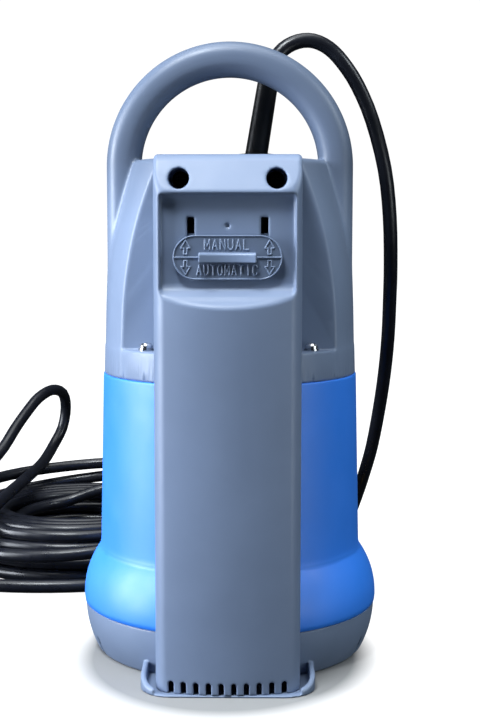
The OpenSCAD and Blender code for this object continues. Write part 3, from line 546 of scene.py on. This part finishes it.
def slider_field(x, y, z):
    v = z - SLIDER_Z
    depth = y - SLIDER_FRONT
    stadium = np.hypot(np.maximum(np.abs(x) - 16.3, 0), v) - 11.2
    plate = both(stadium, np.abs(depth - 1.2) - 1.2, 0.3)
    rim = np.maximum(np.abs(stadium + 0.45) - 0.32, np.abs(depth) - 0.42)
    rib = np.maximum(np.maximum(np.abs(v) - 0.35, np.abs(x) - 27.0), np.abs(depth) - 0.45)
    marks = FAR
    for side in (-1, 1):
        marks = np.minimum(marks, arrow(x, v, side * 21.0, 1.6, True))
        marks = np.minimum(marks, arrow(x, v, side * 21.0, -8.6, False))
    marks = np.minimum(marks, words(x, v, "MANUAL", -11.4, 4.0, 4.8, 3.9))
    marks = np.minimum(marks, words(x, v, "AUTOMATIC", -15.3, -8.7, 4.8, 3.5))
    marks = both(marks - 0.27, np.abs(depth) - 0.42, 0.12)
    # the grip is hollowed to the finger, with its upper edge rounded off
    bow = 41.0 - np.hypot(x, depth + 43.4)
    grip = both(bow, -(depth + 5.0), 0.3)
    grip = both(both(grip, v - 2.3, 1.5), -v - 2.5, 0.4)
    grip = both(grip, np.abs(x) - 14.3, 0.5)
    grip = np.maximum(grip, depth - 1.0)
    shape = either(plate, grip, 0.4)
    for part in (rim, rib, marks):
        shape = either(shape, part, 0.1)
    leg = np.maximum(both(np.abs(np.abs(x) - LEG_X) - 1.6, np.abs(v - 6.3) - 4.5, 0.2),
        np.abs(depth - 4.65) - 2.65)
    return np.minimum(shape, leg)


# ---- body ------------------------------------------------------------------------------------

PORT_Z = 43.5


def body_mesh():
    """The blue body: a turned shell with a rounded rim, a crease and a rounded lower lip, and
    the discharge port's barrel behind."""
    outer = arc(BULGE_CENTRE, BULGE_R, -3.2, 37.6, 20)
    outer = [(83.2, 26.55), (83.75, 26.9)] + outer[1:]
    outer += [(74.72, 58.3), (74.45, 59.2), (74.3, 60.4), (74.2, 62.0)]
    outer += [(BODY_CREASE_R - 2.2 * t, 62 + 93.6 * t) for t in np.linspace(0.08, 1.0, 12)]
    outer += [(71.93, 156.3), (71.7, 156.8), (71.3, 157.0), (69.4, 157.0), (69.0, 156.6),
        (69.0, 155.0), (66.0, 155.0), (66.0, 153.0), (69.0, 150.0), (71.2, 58.0)]
    inner = [(26.0, 58.0), (26.0, 54.0), (55.0, 54.0), (55.0, 26.6), (58.0, 26.6), (58.0, 54.0)]
    inner += arc(BULGE_CENTRE, BULGE_R - 3.0, 34.8, -4.6, 12)
    points, faces = lathe(outer + inner)
    # the barrel's profile: (radius, distance behind the shaft), with a ridged thread
    barrel = [(12.5, 55.0), (16.6, 55.0), (16.6, 84.4), (20.9, 84.4), (20.9, 86.8)]
    for i in range(8):
        low = 87.2 + 2.3 * i
        barrel += [(19.6, low), (20.8, low + 0.8), (20.8, low + 1.2), (19.6, low + 2.0)]
    barrel += [(19.6, 108.0), (12.5, 108.0)]
    more, more_faces = lathe(barrel, 96)
    more = more[:, [0, 2, 1]] + [0, 0, PORT_Z]
    return (np.concatenate([points, more]),
        np.concatenate([faces, more_faces[:, ::-1] + len(points)]))


# ---- materials -------------------------------------------------------------------------------

def linear(colour):
    """Linear values of an 0 to 255 display colour."""
    return tuple((v / 255 / 12.92) if v / 255 < 0.04045 else ((v / 255 + 0.055) / 1.055) ** 2.4
        for v in colour)


class Nodes:
    """A short way to make and join a material's nodes."""

    def __init__(self, name):
        self.material = bpy.data.materials.new(name)
        self.material.use_nodes = True
        self.tree = self.material.node_tree
        self.shader = self.tree.nodes["Principled BSDF"]
        self.place = self.add("ShaderNodeTexCoord").outputs["Object"]

    def add(self, kind, **values):
        """A new node with those attributes."""
        node = self.tree.nodes.new(kind)
        for key, value in values.items():
            setattr(node, key, value)
        return node

    def join(self, source, target):
        self.tree.links.new(source, target)

    def noise(self, scale, detail=2.0, rough=0.5, distortion=0.0, stretch=None):
        """Noise over the piece, stretched along an axis where its scale is small."""
        node = self.add("ShaderNodeTexNoise")
        node.inputs["Scale"].default_value = scale
        node.inputs["Detail"].default_value = detail
        node.inputs["Roughness"].default_value = rough
        node.inputs["Distortion"].default_value = distortion
        if stretch is None:
            self.join(self.place, node.inputs["Vector"])
        else:
            mapping = self.add("ShaderNodeMapping")
            mapping.inputs["Scale"].default_value = stretch
            self.join(self.place, mapping.inputs["Vector"])
            self.join(mapping.outputs["Vector"], node.inputs["Vector"])
        return node.outputs["Fac"]

    def range(self, value, low, high, to_low=0.0, to_high=1.0):
        node = self.add("ShaderNodeMapRange")
        for socket, number in zip(("From Min", "From Max", "To Min", "To Max"),
                (low, high, to_low, to_high)):
            node.inputs[socket].default_value = number
        self.join(value, node.inputs["Value"])
        return node.outputs["Result"]

    def mix(self, factor, a, b):
        """A colour between a and b; each is a colour or an output."""
        node = self.add("ShaderNodeMix", data_type="RGBA")
        self.join(factor, node.inputs[0])
        for socket, value in ((node.inputs[6], a), (node.inputs[7], b)):
            if isinstance(value, tuple):
                socket.default_value = (*value, 1.0)
            else:
                self.join(value, socket)
        return node.outputs[2]

    def maths(self, kind, a, b):
        node = self.add("ShaderNodeMath", operation=kind)
        for socket, value in zip(node.inputs, (a, b)):
            if isinstance(value, (int, float)):
                socket.default_value = value
            else:
                self.join(value, socket)
        return node.outputs[0]

    def bump(self, height, strength, distance, after=None):
        node = self.add("ShaderNodeBump")
        node.inputs["Strength"].default_value = strength
        node.inputs["Distance"].default_value = distance
        self.join(height, node.inputs["Height"])
        if after is not None:
            self.join(after, node.inputs["Normal"])
        return node.outputs["Normal"]


def plastic(name, colour, rough=0.42, tone=0.07, grain=0.12, scuffs=0.25, specular=0.5,
        grain_scale=900.0, pale=1.5, shade_band=None, highlight_plane=None):
    """Moulded plastic: cloudy tone, fine spark texture, faint flow lines and small scuffs.
    The last two arguments paint light and shade: the first, (from, to, share), darkens it
    smoothly between two heights in metres, a painted shade; what stands in front of the plane
    y given by the second is painted paler, a painted highlight."""
    n = Nodes(name)
    base = linear(colour)
    dark = tuple(v * (1 - tone) for v in base)
    light = tuple(min(1.0, v * (1 + tone)) for v in base)
    cloud = n.noise(16.0, 4.0, 0.55)
    fine = n.noise(grain_scale, 2.0, 0.6)
    flow = n.noise(30.0, 3.0, 0.6, 0.6, (1.0, 1.0, 0.12))
    colours = n.mix(n.range(cloud, 0.3, 0.7), dark, light)
    colours = n.mix(n.range(flow, 0.55, 0.75, 0.0, 0.35), colours, light)
    scratch = n.noise(170.0, 6.0, 0.62, 2.2)
    where = n.noise(22.0, 2.0)
    mark = n.maths("MULTIPLY", n.range(scratch, 0.66, 0.72), n.range(where, 0.58, 0.68))
    mark = n.maths("MULTIPLY", mark, scuffs)
    worn = tuple(min(1.0, v * pale + 0.05) for v in base)
    axes = n.add("ShaderNodeSeparateXYZ")
    n.join(n.place, axes.inputs[0])
    # painted highlight: raised faces in front of the plane are painted 1.55 times paler
    if highlight_plane is not None:
        front = n.range(axes.outputs["Y"], highlight_plane + 0.0001, highlight_plane - 0.0001)
        colours = n.mix(front, colours, tuple(v * 1.55 for v in base))
    # painted shade: between the two heights the colour is mixed towards half the base, darker
    # towards the top
    if shade_band is not None:
        height = n.range(axes.outputs["Z"], shade_band[0], shade_band[1], 0.0, shade_band[2])
        colours = n.mix(height, colours, tuple(v * 0.5 for v in base))
    n.join(n.mix(mark, colours, worn), n.shader.inputs["Base Color"])
    spread = n.range(n.noise(60.0, 4.0), 0.3, 0.7, rough - 0.05, rough + 0.06)
    n.join(n.maths("ADD", spread, n.maths("MULTIPLY", mark, 0.3)), n.shader.inputs["Roughness"])
    normal = n.bump(fine, grain, 0.00012)
    normal = n.bump(cloud, 0.12, 0.0012, normal)
    normal = n.bump(mark, 0.3, 0.0001, normal)
    n.join(normal, n.shader.inputs["Normal"])
    n.shader.inputs["Specular IOR Level"].default_value = specular
    return n.material


def rubber(name, colour, rough, specular):
    """Smooth black rubber or PVC: drag marks, dust specks and a slightly waxy gloss."""
    n = Nodes(name)
    base = linear(colour)
    cloud = n.noise(40.0, 4.0)
    dust = n.range(n.noise(420.0, 4.0, 0.7), 0.63, 0.75)
    colours = n.mix(n.range(cloud, 0.3, 0.7), base, tuple(v * 1.7 + 0.002 for v in base))
    n.join(n.mix(n.maths("MULTIPLY", dust, 0.10), colours, (0.12, 0.13, 0.16)),
        n.shader.inputs["Base Color"])
    n.join(n.range(n.noise(90.0, 5.0, 0.6), 0.3, 0.7, rough - 0.06, rough + 0.1),
        n.shader.inputs["Roughness"])
    normal = n.bump(n.noise(650.0, 3.0, 0.6), 0.10, 0.00012)
    normal = n.bump(n.noise(70.0, 3.0), 0.16, 0.0009, normal)
    n.join(normal, n.shader.inputs["Normal"])
    n.shader.inputs["Specular IOR Level"].default_value = specular
    return n.material


def metal(name, colour, rough=0.22, brushed=(1.0, 1.0, 1.0), tone=0.12):
    """Metal with fine machining lines, stains and uneven polish."""
    n = Nodes(name)
    base = linear(colour)
    cloud = n.noise(120.0, 5.0, 0.6)
    lines = n.noise(700.0, 2.0, 0.5, 0.0, brushed)
    colours = n.mix(n.range(cloud, 0.3, 0.7), tuple(v * (1 - tone) for v in base), base)
    n.join(colours, n.shader.inputs["Base Color"])
    n.join(n.range(cloud, 0.3, 0.7, rough - 0.07, rough + 0.12), n.shader.inputs["Roughness"])
    n.join(n.bump(lines, 0.2, 0.00006), n.shader.inputs["Normal"])
    n.shader.inputs["Metallic"].default_value = 1.0
    return n.material


FINISH = {
    # the cap's upper part and handle are painted darker towards the top, a painted shade
    "grey_plastic": plastic("grey_moulding", (119, 135, 162), shade_band=(0.24, 0.275, 0.7)),
    "column_plastic": plastic("column_moulding", (116, 132, 160), 0.44, 0.08, scuffs=0.5),
    # the slider's raised letters, rim, rib and grip front are painted paler, a painted highlight
    "slider_plastic": plastic("slider_moulding", (96, 110, 134), 0.36, 0.06, scuffs=0.3,
        highlight_plane=(SLIDER_FRONT - 0.22) * MM),
    "blue_plastic": plastic("blue_moulding", (44, 132, 248), 0.5, 0.05, scuffs=0.15, specular=0.85,
        pale=1.3),
    "black_plastic": plastic("black_moulding", (26, 27, 31), 0.42, 0.15, scuffs=0.3, pale=3.0),
    "white_plastic": plastic("white_moulding", (226, 226, 220), 0.45, 0.04),
    "orange_plastic": plastic("float_moulding", (214, 108, 34), 0.42, 0.06),
    "black_rubber": rubber("black_pvc", (14, 16, 23), 0.3, 0.42),
    "steel": metal("stainless_steel", (205, 208, 214), 0.2),
    "shaft_steel": metal("ground_steel", (190, 193, 200), 0.16, (1.0, 1.0, 14.0)),
    "core_steel": metal("lamination_steel", (92, 95, 102), 0.42, (0.1, 0.1, 9.0)),
    "copper": metal("enamelled_copper", (184, 96, 52), 0.3, (6.0, 6.0, 1.0)),
    "aluminium": metal("cast_aluminium", (176, 180, 186), 0.45, (1.0, 1.0, 1.0), 0.2),
    "ceramic": plastic("seal_ceramic", (230, 228, 218), 0.22, 0.03, 0.03, 0.0),
    "magnet": metal("magnet_plating", (120, 122, 128), 0.34),
    "glass": plastic("reed_glass", (150, 176, 168), 0.12, 0.1, 0.02, 0.0),
    "brass": metal("pin_brass", (206, 170, 96), 0.24, (10.0, 1.0, 1.0)),
}
rubber_boot = rubber("boot_rubber", (10, 11, 14), 0.42, 0.4)
# near-black metal for the float cover's screws: a painted shade for their deep counterbores
hole_shade_black = metal("hole_shade_black", (16, 17, 20), 0.5)

# ---- pieces ----------------------------------------------------------------------------------

def finish_piece(obj, body, slot, *nodes):
    obj.data.materials.clear()
    obj.data.materials.append(FINISH[slot])
    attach(obj, body)
    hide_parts(*nodes)


cap = solid("cap_and_handle", cap_field, steps((-73, 73, 1.2)), steps((-73, 73, 1.25)),
    steps((155.5, 343, 1.2)), 0.4)
finish_piece(cap, "pump", "grey_plastic", "top_cap")

column = solid("float_column", column_field, steps((-38.6, 38.6, 0.65)),
    steps((-101.2, -78, 0.65), (-78, -38.8, 1.3)),
    steps((0.2, 12, 0.6), (12, 192, 3.0), (192, 277.4, 0.65)), 0.55)
finish_piece(column, "pump", "column_plastic", "float_cover")

base = solid("strainer_bowl", base_field, steps((-84.6, 84.6, 0.95)),
    steps((-101, 84.6, 0.95)), steps((-0.8, 28, 0.65)), 0.5)
finish_piece(base, "pump", "grey_plastic", "strainer_base")

slider = solid("mode_switch", slider_field, steps((-28, 28, 0.2)), steps((-98.4, -84.6, 0.25)),
    steps((212.4, 236, 0.2)), 0.45)
finish_piece(slider, "slider", "slider_plastic", "mode_slider")

body_points, body_faces = body_mesh()
body = mesh_object("pump_body", body_points, body_faces)
smooth(body)
finish_piece(body, "pump", "blue_plastic", "body_shell")

# the other CAD nodes keep their shape and take their own finish; those listed in BEVELLED also get
# rounded edges and smooth shading
BEVELLED = {"cap_screws": 0.25, "cap_washers": 0.12, "float_cover_screws": 0.2, "union_nut": 0.5,
    "discharge_elbow": 0.4, "hose_tail": 0.35, "gland_nut": 0.5, "cord_boot": 0.5,
    "plug_body": 0.8, "plug_pins": 0.3, "slider_clip": 0.2, "impeller": 0.3, "float_shell": 0.6,
    "base_screws": 0.2, "suction_plate": 0.4}
for part in frame["record"]["subparts"]:
    obj = frame["nodes"][part["node"]]
    finish = FINISH[part["material_slot"]]
    # the float cover's screws take the near-black metal, painted shade in their counterbores
    finish = {"cord_boot": rubber_boot, "gland_nut": rubber_boot,
        "float_cover_screws": hole_shade_black}.get(part["node"], finish)
    obj.data.materials.clear()
    obj.data.materials.append(finish)
    if part["node"] in BEVELLED:
        bevel = obj.modifiers.new("round", "BEVEL")
        bevel.width = BEVELLED[part["node"]] * MM
        bevel.segments = 3
        bevel.angle_limit = math.radians(35)
        bevel.harden_normals = True
        smooth(obj)
lead.data.materials.clear()
lead.data.materials.append(FINISH["black_rubber"])

# ---- floor, light and view -------------------------------------------------------------------

FLOOR_HALF = 4000.0
corners = np.array([(-1, -1, 0), (1, -1, 0), (1, 1, 0), (-1, 1, 0)]) * FLOOR_HALF
floor = mesh_object("floor", corners, np.array([(0, 1, 2, 3)]))
paper = Nodes("pale_floor")
paper_tone = paper.range(paper.noise(3.0, 3.0), 0.3, 0.7)
paper.join(paper.mix(paper_tone, (0.25, 0.25, 0.25), (0.27, 0.27, 0.27)),
    paper.shader.inputs["Base Color"])
paper.shader.inputs["Roughness"].default_value = 0.7
paper.shader.inputs["Emission Color"].default_value = (1.0, 1.0, 1.0, 1.0)
# the paper glows everywhere but close to the pump; the dark ring round the pump's foot is a painted
# contact shadow, set by the distance from the pump
spread = paper.add("ShaderNodeVectorMath", operation="MULTIPLY_ADD")
paper.join(paper.add("ShaderNodeNewGeometry").outputs["Position"], spread.inputs[0])
spread.inputs[1].default_value = (1.2, 1.0, 1.0)
spread.inputs[2].default_value = (0.004, 0.03, 0.0)
shadow_distance = paper.add("ShaderNodeVectorMath", operation="LENGTH")
paper.join(spread.outputs["Vector"], shadow_distance.inputs[0])
paper.join(paper.range(shadow_distance.outputs["Value"], 0.087, 0.108, 0.0, 0.98),
    paper.shader.inputs["Emission Strength"])
floor.data.materials.append(paper.material)
floor.visible_diffuse = False
floor.visible_glossy = False

# the world lights faintly and is plain white to the camera
world = bpy.data.worlds.new("studio")
world.use_nodes = True
world_nodes = world.node_tree
sky = world_nodes.nodes["Background"]
sky.inputs["Color"].default_value = (0.78, 0.88, 1.0, 1.0)
sky.inputs["Strength"].default_value = 0.03
seen = world_nodes.nodes.new("ShaderNodeBackground")
seen.inputs["Color"].default_value = (1.0, 1.0, 1.0, 1.0)
seen.inputs["Strength"].default_value = 1.05
ray = world_nodes.nodes.new("ShaderNodeLightPath")
choice = world_nodes.nodes.new("ShaderNodeMixShader")
world_nodes.links.new(ray.outputs["Is Camera Ray"], choice.inputs[0])
world_nodes.links.new(sky.outputs[0], choice.inputs[1])
world_nodes.links.new(seen.outputs[0], choice.inputs[2])
world_nodes.links.new(choice.outputs[0], world_nodes.nodes["World Output"].inputs["Surface"])
bpy.context.scene.world = world


def softbox(name, place, aim, size, power, colour):
    data = bpy.data.lights.new(name, "AREA")
    data.shape = "RECTANGLE"
    data.size, data.size_y = size
    data.energy = power
    data.color = colour
    light = bpy.data.objects.new(name, data)
    light.location = place
    light.rotation_euler = (Vector(aim) - Vector(place)).to_track_quat("-Z", "Y").to_euler()
    bpy.context.scene.collection.objects.link(light)


softbox("key_left", (-1.28, -0.31, 0.42), (0, 0, 0.17), (0.6, 1.1), 42.0, (0.86, 0.92, 1.0))
softbox("top_front", (-0.32, -0.52, 1.3), (0, -0.09, 0.26), (0.35, 0.3), 17.0, (0.9, 0.96, 1.0))
softbox("fill_right", (0.62, -0.42, 0.1), (0, 0, 0.1), (0.3, 0.25), 1.0, (0.9, 0.98, 1.0))
softbox("rim_right", (0.9, -0.3, 0.85), (0.07, 0, 0.08), (0.3, 0.3), 4.0, (0.86, 0.95, 1.0))
sun_data = bpy.data.lights.new("overhead", "SUN")
sun_data.energy = 2.0
sun_data.angle = math.radians(50.0)
sun_data.color = (0.94, 0.98, 1.0)
sun = bpy.data.objects.new("overhead", sun_data)
bpy.context.scene.collection.objects.link(sun)

bpy.context.scene.view_settings.view_transform = "Standard"
bpy.context.scene.view_settings.look = "None"
